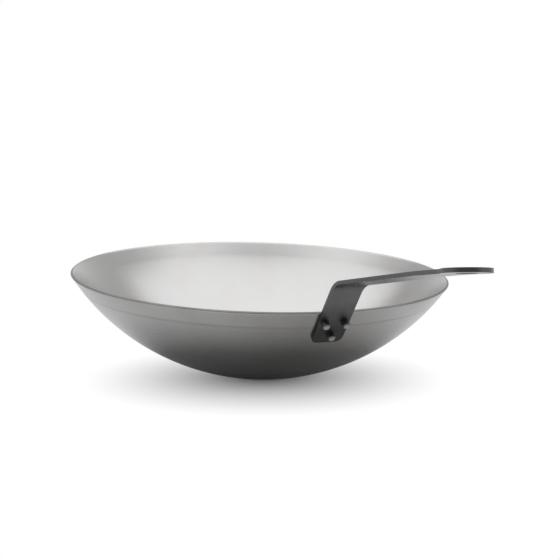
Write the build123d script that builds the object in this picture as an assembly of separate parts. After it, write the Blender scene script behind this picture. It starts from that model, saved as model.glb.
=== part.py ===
from build123d import *
import math
import os

# Carbon steel wok, in millimetres: a round-bottomed bowl of thin sheet, and one
# strip handle held on its wall by three rivets. +Z is up, the origin is the lowest
# point of the bowl's outside, and the handle points along +X. Side views are drawn
# with X across and Z up.

# Bowl: a spherical dish, then a crease, from where the wall runs straight to the rim.
rim_radius = 175.0
sheet_thickness = 2.5
dish_depth = 82.1
crease_inset = 9.7
crease_bend = 1.7
rim_edge_break = 0.4

# Handle from the side: foot on the wall, riser, bend, and an arm that sags a little.
strip_width = 26.0
strip_thickness = 3.0
foot_length = 33.0
foot_corner_radius = 5.5
foot_lead = 3.0
riser_length = 25.0
bend_radius = 26.0
arm_slope = 14.0
first_run = 113.0
sag_radius = 210.0
end_slope = 12.8
last_run = 43.0

# Handle from above: a slow taper to the waist, then a round paddle with an eye.
waist_width = 23.5
waist_fillet = 24.0
paddle_radius = 16.0
eye_radius = 7.0

# Rivets, all square to the wall: two under the rim, set in from the strip's edges,
# and one below.
rivet_radius = 3.0
rivet_clearance = 0.1
upper_rivet_drop = 7.4
upper_rivet_edge = 4.65
lower_rivet_drop = 21.4
stub_radius = 3.2
stub_height = 5.6
stub_edge_break = 0.5
head_radius = 6.0
head_height = 2.0
head_bevel_height = 1.3
head_bevel_width = 2.6
head_clearance = 0.05

# Every cut runs this far past what it cuts.
overrun = 5.0


def heading(degrees):
    """Unit vector in a side view, at an angle above the horizontal."""
    return Vector(1, 0).rotate(Axis.Z, degrees)


def in_space(point):
    """Point of a side view as a place in space."""
    return Vector(point.X, 0, point.Y)


crease_point = Vector(rim_radius - crease_inset, dish_depth)
crease_angle = 2 * math.degrees(math.atan(crease_point.Y / crease_point.X))
dish_radius = crease_point.X / math.sin(math.radians(crease_angle))
dish_centre = Vector(0, dish_radius)
rim_band_angle = crease_angle + crease_bend
band_length = crease_inset / math.cos(math.radians(rim_band_angle))
rim_point = crease_point + heading(rim_band_angle) * band_length


def wall_slope(drop):
    """Slope of the wall in degrees, at a distance down the wall from the rim."""
    if drop <= band_length:
        return rim_band_angle
    return crease_angle - math.degrees((drop - band_length) / dish_radius)


def wall_point(drop):
    """Point on the outside of the wall, at a distance down the wall from the rim."""
    if drop <= band_length:
        return rim_point - heading(rim_band_angle) * drop
    return dish_centre + heading(wall_slope(drop) - 90) * dish_radius


def wall_frame(drop, turn):
    """Place on the outside of the wall, its Z axis square out of the wall."""
    outward = in_space(heading(wall_slope(drop) - 90))
    plane = Plane(origin=in_space(wall_point(drop)), x_dir=(0, 1, 0), z_dir=outward)
    return Rot(Z=turn) * plane.location


def strip_section(line):
    """Side view of the strip whose inner, upper face follows a line."""
    outline = offset(line, strip_thickness, kind=Kind.INTERSECTION, side=Side.RIGHT)
    return Plane.XZ * make_face(outline.edges())


# Rivet holes are named once, by their drop below the rim and their turn about Z.
half_turn = math.degrees((strip_width / 2 - upper_rivet_edge) / wall_point(upper_rivet_drop).X)
rivet_places = {
    "rivet_upper_left": wall_frame(upper_rivet_drop, -half_turn),
    "rivet_upper_right": wall_frame(upper_rivet_drop, half_turn),
    "rivet_lower": wall_frame(lower_rivet_drop, 0),
}


def rivet_holes():
    """Drills that pass through the handle's foot and the bowl's wall."""
    reach = strip_thickness + sheet_thickness + overrun
    drill = Cylinder(rivet_radius + rivet_clearance, 2 * reach)
    return [place * drill for place in rivet_places.values()]


def make_bowl():
    """Pressed sheet of one thickness, cut off square at the rim."""
    dish = CenterArc(dish_centre, dish_radius, -90, crease_angle)
    band = Line(crease_point, rim_point)
    outline = offset(dish + band, sheet_thickness, kind=Kind.INTERSECTION, side=Side.LEFT)
    bowl = revolve(Plane.XZ * make_face(outline.edges()), Axis.Z)
    rim_edges = bowl.edges().filter_by(GeomType.CIRCLE).sort_by(SortBy.RADIUS)
    rim_edges = rim_edges.filter_by(lambda edge: edge.radius > crease_point.X + sheet_thickness)
    bowl = chamfer(rim_edges, rim_edge_break)
    return bowl - rivet_holes()


def make_foot():
    """Foot of the strip, dished to the wall that it lies on, up to just over the rim."""
    foot_slope = wall_slope(foot_length)
    riser = heading(rim_band_angle)
    dish = CenterArc(dish_centre, dish_radius, foot_slope - 90, crease_angle - foot_slope)
    band = Line(crease_point, rim_point + riser * (foot_lead + overrun))
    half_sweep = math.degrees((strip_width / 2 + overrun) / wall_point(foot_length).X)
    ring = revolve(Rot(Z=-half_sweep) * strip_section(dish + band), Axis.Z, 2 * half_sweep)
    foot = ring & Box(4 * rim_radius, strip_width, 4 * rim_radius)
    corners = foot.edges().sort_by(SortBy.LENGTH)[:4].sort_by(Axis.Z)[:2]
    foot = fillet(corners, foot_corner_radius)
    top = Plane(in_space(rim_point + riser * foot_lead), x_dir=(0, 1, 0), z_dir=in_space(riser))
    return split(foot, top, keep=Keep.BOTTOM)


def arm_outline(arm_length):
    """Outline of the arm from above: a slow taper, then the paddle with its eye at zero."""
    taper = make_face(Polyline(
        (-arm_length, strip_width / 2), (0, waist_width / 2),
        (0, -waist_width / 2), (-arm_length, -strip_width / 2), close=True))
    outline = taper + Circle(paddle_radius)
    joins = outline.vertices().filter_by(lambda corner: -paddle_radius < corner.X < 0)
    outline = fillet(joins, waist_fillet)
    bend = Pos(X=-arm_length) * Rectangle(arm_length, strip_width, align=(Align.MAX, Align.CENTER))
    return outline + bend - Circle(eye_radius)


def make_handle():
    """Strip with a dished foot, a riser that flattens out, a bend and a long arm."""
    riser = heading(rim_band_angle)
    bend_start = rim_point + riser * riser_length
    bend = JernArc(bend_start, riser, bend_radius + strip_thickness, arm_slope - rim_band_angle)
    run = Line(bend @ 1, bend @ 1 + heading(arm_slope) * first_run)
    sag = JernArc(run @ 1, run % 1, sag_radius, end_slope - arm_slope)
    eye = sag @ 1 + heading(end_slope) * last_run
    end = Line(sag @ 1, eye + heading(end_slope) * (paddle_radius + overrun))
    arm_length = first_run + sag.length + last_run
    from_above = Plane(in_space(eye), x_dir=in_space(heading(end_slope)),
                       z_dir=in_space(heading(end_slope + 90)))
    arm = extrude(strip_section(bend + run + sag + end), paddle_radius + overrun, both=True)
    arm = arm & extrude(from_above * arm_outline(arm_length), arm_length, both=True)

    foot = make_foot()
    dished_end = foot.faces().sort_by(Axis((0, 0, 0), in_space(riser)))[-1]
    flat_end = arm.faces().sort_by(Axis.X)[0]
    strip = foot + loft([dished_end, flat_end], ruled=True) + arm
    return strip - rivet_holes()


def make_rivet(place):
    """Plain stub outside the strip, low bevelled head inside the bowl."""
    through = strip_thickness + sheet_thickness
    head_seat = head_clearance + head_radius ** 2 / (2 * (dish_radius - sheet_thickness))
    shank = Pos(Z=-sheet_thickness - head_seat) * Cylinder(
        rivet_radius, through + head_seat, align=(Align.CENTER, Align.CENTER, Align.MIN))
    stub = Pos(Z=strip_thickness) * Cylinder(
        stub_radius, stub_height, align=(Align.CENTER, Align.CENTER, Align.MIN))
    stub = chamfer(stub.edges().sort_by(Axis.Z)[-1], stub_edge_break)
    head = Cylinder(head_radius, head_height, align=(Align.CENTER, Align.CENTER, Align.MIN))
    head = chamfer(head.edges().sort_by(Axis.Z)[-1], head_bevel_height, head_bevel_width)
    head = Pos(Z=-sheet_thickness - head_seat) * Rot(X=180) * head
    return place * (shank + stub + head)


os.makedirs("parts", exist_ok=True)
export_step(make_bowl(), "parts/bowl.step")
export_step(make_handle(), "parts/handle.step")
for name, place in rivet_places.items():
    export_step(make_rivet(place), f"parts/{name}.step")
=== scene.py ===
import bmesh
import bpy
import math
from mathutils import Matrix, Vector


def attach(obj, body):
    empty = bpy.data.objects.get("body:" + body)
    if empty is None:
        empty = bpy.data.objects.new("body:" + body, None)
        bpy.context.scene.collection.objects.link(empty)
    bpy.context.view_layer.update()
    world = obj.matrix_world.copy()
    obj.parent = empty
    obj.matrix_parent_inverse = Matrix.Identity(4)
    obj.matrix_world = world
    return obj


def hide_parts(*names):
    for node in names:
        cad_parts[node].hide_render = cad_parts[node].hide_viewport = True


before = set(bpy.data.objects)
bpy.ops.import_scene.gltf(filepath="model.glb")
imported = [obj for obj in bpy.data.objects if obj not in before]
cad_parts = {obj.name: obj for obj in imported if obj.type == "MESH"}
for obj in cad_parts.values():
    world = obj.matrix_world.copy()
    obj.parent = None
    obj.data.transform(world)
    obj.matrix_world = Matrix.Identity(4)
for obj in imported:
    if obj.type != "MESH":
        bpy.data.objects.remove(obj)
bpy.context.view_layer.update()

# Bowl. One blank of carbon steel sheet, pressed and spun to a round dish, straight in its
# last stretch and sheared off square at the rim. The bare metal is satin inside. Outside it
# has darker greys as painted shade, darker still towards the bottom and in a line at the
# crease, and round the rivets a darker, browner patch, partly painted shade of the handle
# and partly stained brown.
rim_radius = 0.175
sheet_thickness = 0.0025
dish_depth = 0.0821
crease_inset = 0.0097
crease_bend = math.radians(1.7)
rim_edge_round = 0.0006
crease_radius = rim_radius - crease_inset
crease_angle = 2 * math.atan(dish_depth / crease_radius)
dish_radius = crease_radius / math.sin(crease_angle)
band_angle = crease_angle + crease_bend
band_length = crease_inset / math.cos(band_angle)
up_the_band = Vector((math.cos(band_angle), 0, math.sin(band_angle)))
dish_steps = 60
band_steps = 8
bowl_steps = 288
same_place = 1e-6


def turn_round(profile, steps):
    """Spin a side view round the Z axis into a closed round shape."""
    bmesh.ops.spin(profile, geom=profile.verts[:] + profile.edges[:], cent=(0, 0, 0),
                   axis=(0, 0, 1), angle=math.tau, steps=steps, use_merge=True)
    bmesh.ops.remove_doubles(profile, verts=profile.verts[:], dist=same_place)
    bmesh.ops.recalc_face_normals(profile, faces=profile.faces[:])


def set_down(shape, name):
    """Put a finished shape into the scene, as a smooth object at the origin."""
    for face in shape.faces:
        face.smooth = True
    mesh = bpy.data.meshes.new(name)
    shape.to_mesh(mesh)
    shape.free()
    piece = bpy.data.objects.new(name, mesh)
    bpy.context.scene.collection.objects.link(piece)
    return piece


def give_gauge(piece, gauge, inner_slot, edge_slot):
    """Give a drawn face the gauge of its metal, on the side that it doesn't face."""
    metal = piece.modifiers.new("gauge", "SOLIDIFY")
    metal.thickness = gauge
    metal.offset = -1
    metal.use_even_offset = True
    metal.material_offset = inner_slot
    metal.material_offset_rim = edge_slot


def dull_edges(piece, width, even_shading):
    """Round the sheared edges of a piece a little, as filing and wear do."""
    dulled = piece.modifiers.new("dulled_edges", "BEVEL")
    dulled.width = width
    dulled.segments = 3
    dulled.limit_method = "ANGLE"
    dulled.angle_limit = math.radians(60)
    dulled.harden_normals = even_shading


shell = bmesh.new()
lowest = shell.verts.new((0, 0, 0))
bmesh.ops.spin(shell, geom=[lowest], cent=(0, 0, dish_radius), axis=(0, 1, 0),
               angle=-crease_angle, steps=dish_steps)
edge_vert = max(shell.verts, key=lambda vert: vert.co.z)
for step in range(band_steps):
    edge_vert = bmesh.ops.extrude_vert_indiv(shell, verts=[edge_vert])["verts"][0]
    bmesh.ops.translate(shell, verts=[edge_vert], vec=up_the_band * band_length / band_steps)
turn_round(shell, bowl_steps)
if min(shell.faces, key=lambda face: face.calc_center_median().z).normal.z > 0:
    bmesh.ops.reverse_faces(shell, faces=shell.faces[:])
bowl = set_down(shell, "pressed_bowl")
give_gauge(bowl, sheet_thickness, inner_slot=1, edge_slot=2)
dull_edges(bowl, rim_edge_round, even_shading=False)


class Shade:
    """One value of a finish. Sums on it add Math nodes to that finish."""

    def __init__(self, finish, socket):
        self.finish = finish
        self.socket = socket

    def math(self, operation, *values):
        return self.finish.add("ShaderNodeMath", {"operation": operation},
                               dict(enumerate(values)))

    def __add__(self, other): return self.math("ADD", self, other)
    def __sub__(self, other): return self.math("SUBTRACT", self, other)
    def __rsub__(self, other): return self.math("SUBTRACT", other, self)
    def __mul__(self, other): return self.math("MULTIPLY", self, other)
    def __truediv__(self, other): return self.math("DIVIDE", self, other)
    def __pow__(self, other): return self.math("POWER", self, other)
    def __abs__(self): return self.math("ABSOLUTE", self)
    __radd__ = __add__
    __rmul__ = __mul__


class Finish:
    """Nodes of a material or of the room, with the place that they read."""

    def __init__(self, holder, shader="Principled BSDF", place="Object"):
        holder.use_nodes = True
        self.holder = holder
        self.nodes = holder.node_tree.nodes
        self.links = holder.node_tree.links
        self.shader = self.nodes[shader]
        self.place = self.add("ShaderNodeTexCoord", out=place)

    def add(self, kind, settings=None, values=None, out=0):
        node = self.nodes.new(kind)
        for name, setting in (settings or {}).items():
            setattr(node, name, setting)
        self.fill(node, values or {})
        return Shade(self, node.outputs[out])

    def fill(self, node, values):
        for name, value in values.items():
            if isinstance(value, Shade):
                self.links.new(value.socket, node.inputs[name])
            else:
                node.inputs[name].default_value = value

    def part(self, vector):
        """The three numbers of a place."""
        split = self.add("ShaderNodeSeparateXYZ", {}, {"Vector": vector}).socket.node
        return [Shade(self, socket) for socket in split.outputs]

    def away_from(self, point):
        """How far the place is from a point."""
        return self.add("ShaderNodeVectorMath", {"operation": "DISTANCE"},
                        {0: self.place, 1: point}, "Value")

    def towards(self, direction):
        """How much the place lies in a direction."""
        return self.add("ShaderNodeVectorMath", {"operation": "DOT_PRODUCT"},
                        {0: self.place, 1: direction}, "Value")

    def noise(self, place, scale, detail, roughness):
        return self.add("ShaderNodeTexNoise", {}, {
            "Vector": place, "Scale": scale, "Detail": detail, "Roughness": roughness}, "Fac")

    def ramp(self, value, low, high, start=0.0, end=1.0):
        """Start at the low value and below, end at the high value and above."""
        return self.add("ShaderNodeMapRange", {}, {
            "Value": value, "From Min": low, "From Max": high, "To Min": start, "To Max": end})

    def blend(self, share, first, second):
        return self.add("ShaderNodeMix", {"data_type": "RGBA"}, {
            "Factor": share, 6: first, 7: second}, 2)

    def bump(self, height, distance):
        return self.add("ShaderNodeBump", {}, {"Height": height, "Distance": distance}, "Normal")

    def dress(self, **values):
        self.fill(self.shader, {name.replace("_", " "): v for name, v in values.items()})


def grey(level, warmth=0.0):
    """Colour of a grey, drawn towards brown by its warmth."""
    return (level, level * (1 - warmth * 0.4), level * (1 - warmth), 1)


rings_per_metre = 900.0
ring_drift = 1.5
ring_depth = 0.000012
ring_gloss = 0.05
cloud_gloss = 0.06
near_axis = 0.01
wall_warmth = 0.02
patch_warmth = 0.09
# Painted shade: a darker line along the crease, towards the foot greys.
crease_shade_core = 0.0004
crease_shade_end = 0.0012
crease_shade_level = 0.45
# A darker, browner patch round the rivets: painted shade and reflection of the dark handle,
# partly stained brown.
stain_and_shade_middle = Vector((0.163, -0.010, 0.085))
stain_and_shade_core = 0.020
stain_and_shade_end = 0.080
stain_and_shade_fray = 0.012
stain_and_shade_level = 0.42
stain_and_shade_warmth = 0.16


def spun_steel(name, dark, light, roughness, foot_shade_dark, foot_shade_light, least_clear_share):
    """Bare steel with fine rings from spinning, and painted shade: a darker line at the crease,
    a darker foot, and a darker patch round the rivets that is partly stained brown.
    """
    steel = Finish(bpy.data.materials.new(name))
    across, along, height = steel.part(steel.place)
    radius = (across * across + along * along) ** 0.5
    around = steel.add("ShaderNodeCombineXYZ", {}, {
        "X": radius * rings_per_metre,
        "Y": across / (radius + near_axis) * ring_drift,
        "Z": along / (radius + near_axis) * ring_drift})
    rings = steel.noise(around, scale=1.0, detail=3.0, roughness=0.6)
    scratches = steel.noise(around, scale=0.35, detail=3.0, roughness=0.7)
    clouds = steel.noise(steel.place, scale=14.0, detail=3.0, roughness=0.55)
    patches = steel.noise(steel.place, scale=22.0, detail=4.0, roughness=0.6)

    # Painted shade: towards the bottom the colour goes over to the darker foot greys.
    foot = steel.blend(clouds, grey(foot_shade_dark), grey(foot_shade_light))
    wall = steel.blend(clouds, grey(dark), grey(light, wall_warmth))
    wall = steel.blend(steel.ramp(patches, low=0.5, high=0.75), wall, grey(dark, patch_warmth))
    rise = steel.ramp(height, low=0.0, high=dish_depth)
    # Painted shade in a line along the crease.
    crease_shade = steel.ramp(abs(radius - crease_radius), crease_shade_core, crease_shade_end, start=crease_shade_level)
    # Painted shade of the handle round the rivets, partly stained brown.
    from_rivets = steel.away_from(stain_and_shade_middle) + scratches * stain_and_shade_fray
    clear_of_stain_and_shade = steel.ramp(from_rivets, stain_and_shade_core, stain_and_shade_end, start=least_clear_share)
    stain_and_shade = grey(dark * stain_and_shade_level, stain_and_shade_warmth)
    steel.dress(
        Base_Color=steel.blend(clear_of_stain_and_shade, stain_and_shade, steel.blend(rise * crease_shade, foot, wall)),
        Metallic=1.0,
        Roughness=roughness + (rings - 0.5) * ring_gloss + (clouds - 0.5) * cloud_gloss,
        Normal=steel.bump(rings, ring_depth),
    )
    bowl.data.materials.append(steel.holder)


# Painted shade: the outside gets darker greys than the inside, for the shadowed floor that it
# reflects.
spun_steel("shaded_outer_steel", dark=0.30, light=0.35, roughness=0.28,
           foot_shade_dark=0.22, foot_shade_light=0.24, least_clear_share=0.62)
spun_steel("satin_steel", dark=0.46, light=0.50, roughness=0.30,
           foot_shade_dark=0.46, foot_shade_light=0.50, least_clear_share=1.0)
spun_steel("sheared_edge", dark=0.18, light=0.26, roughness=0.45,
           foot_shade_dark=0.18, foot_shade_light=0.26, least_clear_share=0.62)
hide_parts("bowl")
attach(bowl, "root")

# Handle. One strip of blackened carbon steel, sheared to its outline, dished at the
# foot to the bowl's wall, bent, and rolled a little to one side past the bend by the
# hand that bent it. Its sheared edges are dulled.
strip_width = 0.026
strip_thickness = 0.003
foot_length = 0.033
foot_corner_radius = 0.0055
foot_lead = 0.003
riser_length = 0.025
bend_radius = 0.026
arm_slope = math.radians(14.0)
first_run = 0.113
sag_radius = 0.210
end_slope = math.radians(12.8)
last_run = 0.043
waist_width = 0.0235
neck_radius = 0.024
paddle_radius = 0.016
eye_radius = 0.007
arm_roll = math.radians(-3.0)
strip_edge_round = 0.0006
eye_steps = 48
row_length = 0.002
corner_rows = 8

foot_slope = crease_angle - (foot_length - band_length) / dish_radius
bend_length = (bend_radius + strip_thickness) * (band_angle - arm_slope)
sag_length = sag_radius * (arm_slope - end_slope)
arm_length = first_run + sag_length + last_run
eye_distance = foot_length + riser_length + bend_length + arm_length
stretches = [
    (foot_length - band_length, foot_slope, crease_angle),
    (band_length + riser_length, band_angle, band_angle),
    (bend_length, band_angle, arm_slope),
    (first_run, arm_slope, arm_slope),
    (sag_length, arm_slope, end_slope),
    (last_run + paddle_radius, end_slope, end_slope),
]
neck_y = waist_width / 2 + neck_radius
neck_x = -math.sqrt((paddle_radius + neck_radius) ** 2 - neck_y ** 2)
neck_middle = Vector((neck_x, neck_y))
neck_meets_paddle = neck_x / (paddle_radius + neck_radius)
diagonal = Vector((-1, 1)).normalized()
past_diagonal = 1e-4


def neck_reach(out):
    """How far the neck's hollow side is from the eye, in a direction."""
    towards = out.dot(neck_middle)
    return towards - math.sqrt(towards ** 2 - neck_middle.length_squared + neck_radius ** 2)


neck_back = neck_reach(diagonal) * diagonal.y


def paddle_reach(out):
    """How far the paddle's outline is from the eye, in a direction."""
    if out.x < diagonal.x - past_diagonal:
        return neck_back / -out.x
    if out.x < neck_meets_paddle:
        return neck_reach(out)
    return paddle_radius


def strip_half(back):
    """Half the strip's width at a distance back from the eye."""
    to_end = eye_distance - back
    if to_end < foot_corner_radius:
        from_corner = min(foot_corner_radius - to_end, foot_corner_radius)
        return (strip_width / 2 - foot_corner_radius
                + math.sqrt(foot_corner_radius ** 2 - from_corner ** 2))
    if back < -neck_x:
        return neck_y - math.sqrt(neck_radius ** 2 - (back + neck_x) ** 2)
    taper = (strip_width - waist_width) / 2 / (arm_length + neck_x)
    return min(waist_width / 2 + taper * (back + neck_x), strip_width / 2)


def strip_place(along, across):
    """Place on the strip's upper face, from its distances along and across from the eye."""
    point = Vector((math.sin(foot_slope), 0, 1 - math.cos(foot_slope))) * dish_radius
    left = eye_distance + along
    for length, slope, next_slope in stretches:
        share = min(left / length, 1.0)
        turn = (next_slope - slope) * share
        chord = length * share * (2 * math.sin(turn / 2) / turn if turn else 1)
        middle = slope + turn / 2
        point += Vector((math.cos(middle), 0, math.sin(middle))) * chord
        left -= length
        if left <= 0:
            break
    past_rim = eye_distance + along - foot_length
    flat = min(max((past_rim - foot_lead) / (riser_length - foot_lead), 0), 1)
    point.x -= (1 - flat) * (point.x - math.sqrt(point.x ** 2 - across ** 2))
    roll = arm_roll * min(max((past_rim - riser_length) / bend_length, 0), 1)
    raised = Vector((-math.sin(slope + turn), 0, math.cos(slope + turn))) * math.sin(roll)
    return point + (raised + Vector((0, math.cos(roll), 0))) * across


strip = bmesh.new()
bmesh.ops.create_circle(strip, segments=eye_steps, radius=eye_radius)
for item in bmesh.ops.extrude_edge_only(strip, edges=strip.edges[:])["geom"]:
    if isinstance(item, bmesh.types.BMVert):
        out = item.co.xy.normalized()
        item.co = item.co.normalized() * paddle_reach(Vector((out.x, abs(out.y))))

plain_length = eye_distance - foot_corner_radius - neck_back
plain_rows = round(plain_length / row_length)
backs = [neck_back + plain_length * row / plain_rows for row in range(plain_rows + 1)]
backs += [eye_distance - foot_corner_radius * (1 - math.sin(math.pi / 2 * row / corner_rows))
          for row in range(1, corner_rows + 1)]
row_items = strip.edges[:]
for back, next_back in zip(backs, backs[1:]):
    row_edges = [item for item in row_items if isinstance(item, bmesh.types.BMEdge)
                 and all(abs(vert.co.x + back) < same_place for vert in item.verts)]
    row_items = bmesh.ops.extrude_edge_only(strip, edges=row_edges)["geom"]
    for item in row_items:
        if isinstance(item, bmesh.types.BMVert):
            item.co.x = -next_back
            item.co.y *= strip_half(next_back) / strip_half(back)
for vert in strip.verts:
    vert.co = strip_place(vert.co.x, vert.co.y)
bmesh.ops.recalc_face_normals(strip, faces=strip.faces[:])
if max(strip.faces, key=lambda face: face.calc_center_median().x).normal.z < 0:
    bmesh.ops.reverse_faces(strip, faces=strip.faces[:])
handle = set_down(strip, "strip_handle")
give_gauge(handle, strip_thickness, inner_slot=0, edge_slot=1)
dull_edges(handle, strip_edge_round, even_shading=True)

skin_dark = 0.075
skin_light = 0.115
# Painted shade: the strip's foot, by the bowl, gets darker greys than the arm.
foot_shade_dark = 0.038
foot_shade_light = 0.056
foot_roughness = 0.54
foot_rougher = 0.32
mottle_roughness = 0.12
grain_depth = 0.00001
foot_shade_below = 0.080
foot_shade_above = 0.108


def black_steel(name):
    """Steel with a mottled, grained black oxide skin, dullest at the foot, and darker there as
    painted shade.
    """
    black = Finish(bpy.data.materials.new(name))
    height = black.part(black.place)[2]
    above_foot = black.ramp(height, foot_shade_below, foot_shade_above)
    mottle = black.noise(black.place, scale=120.0, detail=4.0, roughness=0.6)
    grain = black.noise(black.place, scale=900.0, detail=3.0, roughness=0.6)
    # Painted shade: darker greys at the foot.
    foot = black.blend(mottle, grey(foot_shade_dark), grey(foot_shade_light))
    arm = black.blend(mottle, grey(skin_dark), grey(skin_light))
    black.dress(
        Base_Color=black.blend(above_foot, foot, arm),
        Metallic=1.0,
        Roughness=foot_roughness + mottle * mottle_roughness - above_foot * foot_rougher,
        Normal=black.bump(grain, grain_depth),
    )
    handle.data.materials.append(black.holder)


black_steel("blackened_steel")
black_steel("blackened_edge")
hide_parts("handle")
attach(handle, "root")

# Rivets. Three plain steel rivets, set square to the wall: a low round head inside the
# bowl and a stub outside the strip. Their ends are worn bright.
rivet_radius = 0.003
stub_radius = 0.0032
stub_height = 0.0056
stub_edge_round = 0.0008
head_radius = 0.006
head_height = 0.002
head_clearance = 0.00005
upper_drop = 0.0074
upper_edge = 0.00465
lower_drop = 0.0214
rivet_steps = 48
head_steps = 10
rivet_sharp_from = math.radians(35)
mark_depth = 0.00005

rim_point = Vector((rim_radius, 0, dish_depth + band_length * math.sin(band_angle)))


def wall_place(drop, turn):
    """Place on the bowl's outside at a distance down the wall, its Z square out of it."""
    slope = band_angle
    point = rim_point - up_the_band * drop
    if drop > band_length:
        slope = crease_angle - (drop - band_length) / dish_radius
        point = Vector((math.sin(slope), 0, -math.cos(slope))) * dish_radius
        point.z += dish_radius
    tilt = Matrix.Rotation(math.pi - slope, 4, "Y")
    return Matrix.Rotation(turn, 4, "Z") @ Matrix.Translation(point) @ tilt


def rivet_steel(name, scale, dark, light, roughness, uneven):
    """Rivet steel, with small marks from the hammer and from use."""
    steel = Finish(bpy.data.materials.new(name))
    marks = steel.noise(steel.place, scale, detail=3.0, roughness=0.6)
    steel.dress(
        Base_Color=steel.blend(marks, grey(dark), grey(light)),
        Metallic=1.0,
        Roughness=roughness + marks * uneven,
        Normal=steel.bump(marks, mark_depth),
    )
    return steel.holder


half_turn = (strip_width / 2 - upper_edge) / (rim_point - up_the_band * upper_drop).x
rivet_places = {
    "rivet_upper_left": wall_place(upper_drop, -half_turn),
    "rivet_upper_right": wall_place(upper_drop, half_turn),
    "rivet_lower": wall_place(lower_drop, 0),
}
seat = -sheet_thickness - head_clearance - head_radius ** 2 / 2 / (dish_radius - sheet_thickness)
dome_radius = (head_radius ** 2 + head_height ** 2) / 2 / head_height
dome_angle = math.asin(head_radius / dome_radius)
stub_end = strip_thickness + stub_height
outline = [(rivet_radius, seat), (rivet_radius, strip_thickness), (stub_radius, strip_thickness),
           (stub_radius, stub_end - stub_edge_round), (stub_radius - stub_edge_round, stub_end),
           (0, stub_end)]
rivet_finishes = [
    rivet_steel("rivet_steel", 700.0, dark=0.07, light=0.12, roughness=0.35, uneven=0.2),
    rivet_steel("worn_rivet_end", 900.0, dark=0.17, light=0.36, roughness=0.4, uneven=0.15),
]
for name, place in rivet_places.items():
    turned = bmesh.new()
    start = turned.verts.new((0, 0, seat - head_height))
    bmesh.ops.spin(turned, geom=[start], cent=(0, 0, seat - head_height + dome_radius),
                   axis=(0, 1, 0), angle=-dome_angle, steps=head_steps)
    last = max(turned.verts, key=lambda vert: vert.co.x)
    for across, along in outline:
        last = bmesh.ops.extrude_vert_indiv(turned, verts=[last])["verts"][0]
        last.co = (across, 0, along)
    turn_round(turned, rivet_steps)
    for face in turned.faces:
        face.material_index = int(face.calc_center_median().z > stub_end - same_place)
    bmesh.ops.transform(turned, verts=turned.verts[:], matrix=place)
    rivet = set_down(turned, "set_" + name)
    rivet.data.set_sharp_from_angle(angle=rivet_sharp_from)
    for finish in rivet_finishes:
        rivet.data.materials.append(finish)
    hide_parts(name)
    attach(rivet, "root")

# Studio. A pale floor on which the wok leans towards its handle, as its weight lets it,
# white past the bowl's shadow for the camera and for the metal. One wide soft lamp hangs
# above. The room is white round the horizon, with a dark side and a light card in it.
lean = math.radians(5.4)
floor_radius = 30.0
floor_steps = 96
floor_level = 0.92
shadow_core = 0.010
shadow_end = 0.166
mirrored_core = 0.108
mirrored_end = 0.190
contact = Vector((dish_radius * math.sin(lean), 0, dish_radius * (1 - math.cos(lean))))
stand = Matrix.Translation(contact) @ Matrix.Rotation(-lean, 4, "Y")
ground = bmesh.new()
bmesh.ops.create_circle(ground, cap_ends=True, segments=floor_steps, radius=floor_radius,
                        matrix=stand)
floor = set_down(ground, "floor")
pale = Finish(bpy.data.materials.new("pale_floor"))
pale.dress(Base_Color=grey(floor_level), Roughness=1.0, Specular_IOR_Level=0.0)
rays = pale.add("ShaderNodeLightPath").socket.node.outputs
to_camera, to_gloss, to_glass = [
    Shade(pale, rays[ray]) for ray in ("Is Camera Ray", "Is Glossy Ray", "Is Transmission Ray")]
mirrored = pale.add("ShaderNodeMath", {"operation": "MAXIMUM"}, {0: to_gloss, 1: to_glass})
away = pale.away_from(contact)
white = pale.add("ShaderNodeEmission", {}, {"Color": grey(1.0), "Strength": 1.0})
surface = pale.add("ShaderNodeMixShader", {}, {
    "Fac": (to_camera * pale.ramp(away, shadow_core, shadow_end)
            + mirrored * pale.ramp(away, mirrored_core, mirrored_end)),
    1: Shade(pale, pale.shader.outputs[0]), 2: white})
pale.links.new(surface.socket, pale.nodes["Material Output"].inputs["Surface"])
floor.data.materials.append(pale.holder)

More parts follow.
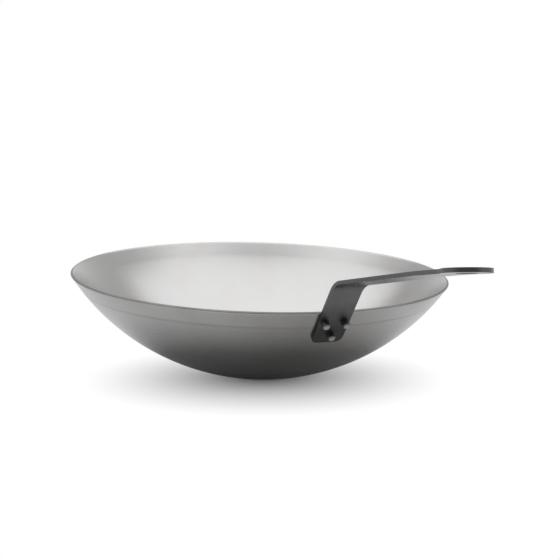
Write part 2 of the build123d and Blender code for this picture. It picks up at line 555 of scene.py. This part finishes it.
lamp_width = 2.7
lamp_depth = 2.15
lamp_height = 1.5
lamp_behind = 0.33
lamp_power = 20.0
camera_side = math.radians(-21.2)
lamp_data = bpy.data.lights.new("overhead", "AREA")
lamp_data.shape = "RECTANGLE"
lamp_data.size = lamp_depth
lamp_data.size_y = lamp_width
lamp_data.energy = lamp_power
lamp = bpy.data.objects.new("overhead", lamp_data)
lamp.matrix_world = (stand @ Matrix.Rotation(camera_side, 4, "Z")
                     @ Matrix.Translation((-lamp_behind, 0, lamp_height)))
bpy.context.scene.collection.objects.link(lamp)


def rise_of(degrees):
    """How much a direction points up, at an angle above the floor."""
    return math.sin(math.radians(degrees))


def aside(side, rise=0.0):
    """Direction to one side of the room, raised a little."""
    return Vector((math.cos(side), math.sin(side), rise)).normalized()


horizon_white = 1.0
room_grey = 0.54
white_up_to = 12.0
grey_from = 30.0
unlit_share = 0.85
unlit_from = 0.1
unlit_to = 0.4
unlit_bottom = (5.0, 9.0)
unlit_top = (33.0, 46.0)
card_side = math.radians(42.0)
card_rise = 0.2
card_edge = math.cos(math.radians(20.0))
card_core = math.cos(math.radians(10.0))
bpy.context.scene.world = bpy.data.worlds.new("studio")
room = Finish(bpy.context.scene.world, "Background", "Generated")
upward = room.towards(stand.to_3x3() @ Vector((0, 0, 1)))
unlit = (room.ramp(room.towards(aside(camera_side)), unlit_from, unlit_to)
         * room.ramp(upward, *map(rise_of, unlit_bottom))
         * room.ramp(upward, *map(rise_of, unlit_top), start=1.0, end=0.0)
         * room.ramp(room.towards(aside(card_side, card_rise)), card_edge, card_core,
                     start=1.0, end=0.0))
room.dress(Color=grey(1.0), Strength=(1.0 - unlit * unlit_share) * room.ramp(
    upward, rise_of(white_up_to), rise_of(grey_from), start=horizon_white, end=room_grey))

# Camera. It stands low on the handle's side, about 0.98 m from where the bowl touches
# the floor, with a long lens and a slight roll, as in the photograph.
camera_point = Vector((0.8887, -0.3252, 0.2725))
sight_line = Vector((-0.9151, 0.3554, -0.1905))
camera_roll = math.radians(1.862)
camera_data = bpy.data.cameras.new("camera")
camera_data.sensor_width = 36.0
camera_data.lens = 65.89
camera = bpy.data.objects.new("camera", camera_data)
camera.matrix_world = (Matrix.Translation(camera_point)
                       @ sight_line.to_track_quat("-Z", "Y").to_matrix().to_4x4()
                       @ Matrix.Rotation(camera_roll, 4, "Z"))
bpy.context.scene.collection.objects.link(camera)
bpy.context.scene.camera = camera
bpy.context.scene.view_settings.view_transform = "Standard"
